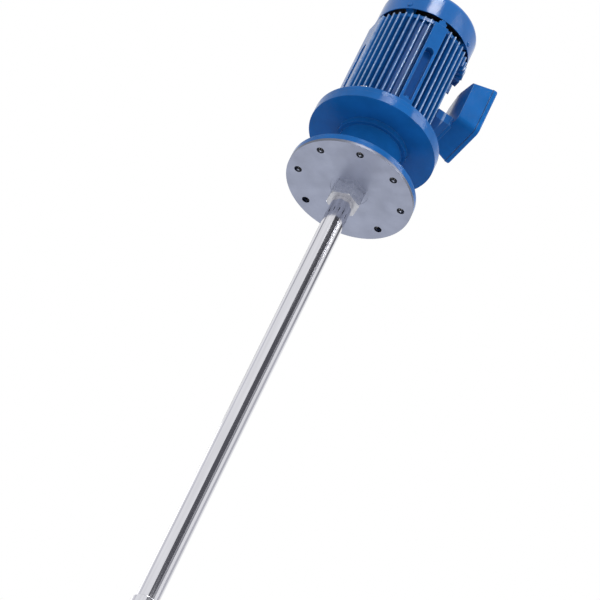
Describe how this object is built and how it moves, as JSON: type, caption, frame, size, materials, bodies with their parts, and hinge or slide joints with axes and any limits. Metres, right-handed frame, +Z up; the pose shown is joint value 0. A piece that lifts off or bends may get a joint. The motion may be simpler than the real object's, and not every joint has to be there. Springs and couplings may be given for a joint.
{
  "type": "high shear emulsifier",
  "caption": "Top-mounted batch mixer: a finned electric motor on a flanged bearing housing drives a toothed rotor inside a slotted stator at the end of a long tube.",
  "frame": {"origin": "centre of the mounting flange at its underside", "axes": "+Z up the shaft axis towards the motor, +X towards the motor's terminal box"},
  "size_m": [0.2295, 0.2, 1.2975],
  "materials": {
    "blue_enamel": "glossy enamel",
    "plate_steel": "satin stainless",
    "polished_tube": "polished stainless",
    "head_steel": "turned stainless",
    "shaft_steel": "ground",
    "fastener_steel": "zinc plated",
    "spring_steel": "oiled black",
    "bearing_steel": "polished",
    "bearing_brass": "pressed",
    "core_steel": "stacked sheet",
    "cage_aluminium": "as cast",
    "coupling_aluminium": "turned",
    "winding_copper": "varnished copper",
    "bush_polymer": "machined",
    "gasket_rubber": "smooth",
    "seal_rubber": "smooth",
    "spider_rubber": "moulded",
    "fan_plastic": "moulded",
    "terminal_plastic": "moulded",
    "terminal_brass": "bright",
    "gland_plastic": "moulded"
  },
  "bodies": {
    "casing": {"mounting_plate": "plate_steel", "flange_gasket": "gasket_rubber", "hex_union": "plate_steel", "shaft_tube": "polished_tube", "shaft_seal": "seal_rubber", "guide_bushes": "bush_polymer", "head_collar": "polished_tube", "lower_bush": "bush_polymer", "stator": "head_steel", "stator_screws": "fastener_steel", "bearing_housing": "blue_enamel", "spindle_bearings_outer": "bearing_steel", "bore_circlip": "spring_steel", "motor_flange": "blue_enamel", "flange_bolts": "fastener_steel", "flange_washers": "spring_steel", "motor_shaft_seal": "seal_rubber", "motor_frame": "blue_enamel", "drive_end_bolts": "blue_enamel", "rear_end_bolts": "blue_enamel", "motor_stator_core": "core_steel", "motor_windings": "winding_copper", "front_bearing_outer": "bearing_steel", "rear_bearing_outer": "bearing_steel", "preload_washer": "spring_steel", "rear_end_shield": "blue_enamel", "fan_cowl": "blue_enamel", "cowl_screws": "blue_enamel", "terminal_box_base": "blue_enamel", "terminal_box_gasket": "gasket_rubber", "terminal_box_lid": "blue_enamel", "lid_screws": "fastener_steel", "box_base_screws": "fastener_steel", "terminal_block": "terminal_plastic", "terminal_screws": "terminal_brass", "terminal_links": "terminal_brass", "cable_gland": "gland_plastic", "gland_nut": "gland_plastic"},
    "spindle": {"rotor": "head_steel", "rotor_key": "fastener_steel", "rotor_washer": "fastener_steel", "rotor_nut": "fastener_steel", "drive_shaft": "shaft_steel", "spindle_bearings_inner": "bearing_steel", "shaft_circlip": "spring_steel", "coupling_hub_lower": "coupling_aluminium", "coupling_spider": "spider_rubber", "coupling_hub_upper": "coupling_aluminium", "coupling_grub_screws": "spring_steel", "motor_key": "fastener_steel", "motor_rotor_core": "core_steel", "motor_rotor_cage": "cage_aluminium", "motor_shaft": "shaft_steel", "front_bearing_inner": "bearing_steel", "rear_bearing_inner": "bearing_steel", "cooling_fan": "fan_plastic", "fan_circlip": "spring_steel"},
    "motor_ball_cages": {"front_bearing_cage": "bearing_brass", "rear_bearing_cage": "bearing_brass"},
    "spindle_ball_cages": {"spindle_bearings_cage": "bearing_brass"}
  },
  "joints": [
    {"name": "spindle_spin", "type": "hinge", "parent": "casing", "child": "spindle", "pos_m": [0, 0, 0.02], "axis": [0, 0, 1], "continuous": true},
    {"name": "motor_cage_spin", "type": "hinge", "parent": "casing", "child": "motor_ball_cages", "pos_m": [0, 0, 0.13], "axis": [0, 0, 1], "continuous": true},
    {"name": "spindle_cage_spin", "type": "hinge", "parent": "casing", "child": "spindle_ball_cages", "pos_m": [0, 0, 0.02], "axis": [0, 0, 1], "continuous": true}
  ],
  "couplings": [
    {"joint": "motor_cage_spin", "follows": "spindle_spin", "ratio": 0.3815},
    {"joint": "spindle_cage_spin", "follows": "spindle_spin", "ratio": 0.3976}
  ]
}
